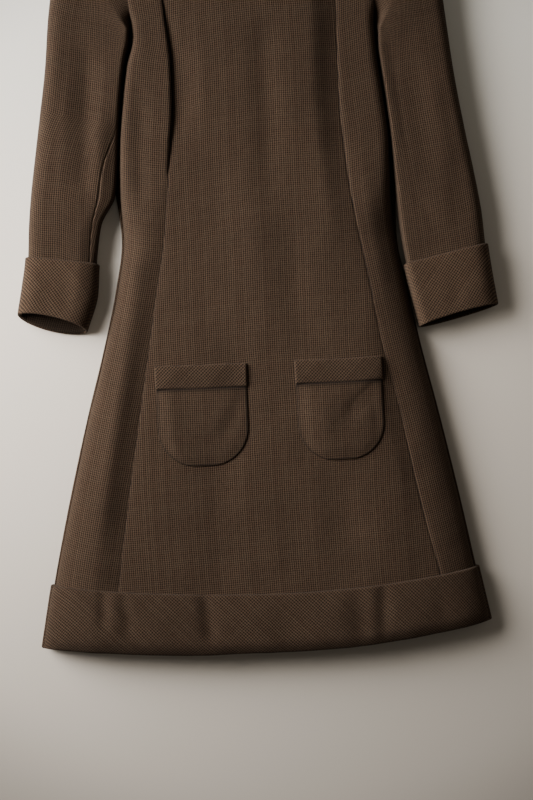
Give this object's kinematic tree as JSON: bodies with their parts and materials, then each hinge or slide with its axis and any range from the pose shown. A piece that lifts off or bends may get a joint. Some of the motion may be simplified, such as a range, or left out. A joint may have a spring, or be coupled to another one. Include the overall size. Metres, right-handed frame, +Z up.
{
  "type": "a-line dress",
  "caption": "Knee-length A-line dress of brown wool with princess seams, two-piece sleeves, patch pockets and bias cuffs and hem band, laid flat.",
  "frame": {"origin": "centre of the dress's outline on the surface it lies on", "axes": "+Y from hem to neck, +X towards the right sleeve as seen from above the front, +Z up, away from the surface"},
  "size_m": [0.6486, 1.0721, 0.0486],
  "materials": {
    "wool": "matte two-tone micro-check weave, cut on the straight grain",
    "wool_bias": "the same matte weave, cut on the bias"
  },
  "bodies": {
    "root": {"front_centre": "wool", "side_front_left": "wool", "side_front_right": "wool", "back_left": "wool", "back_right": "wool", "top_sleeve_left": "wool", "under_sleeve_left": "wool", "top_sleeve_right": "wool", "under_sleeve_right": "wool", "pocket_left": "wool", "pocket_right": "wool", "cuff_left": "wool_bias", "cuff_right": "wool_bias", "hem_band_front": "wool_bias", "hem_band_back": "wool_bias", "pocket_band_left": "wool_bias", "pocket_band_right": "wool_bias"}
  },
  "joints": []
}
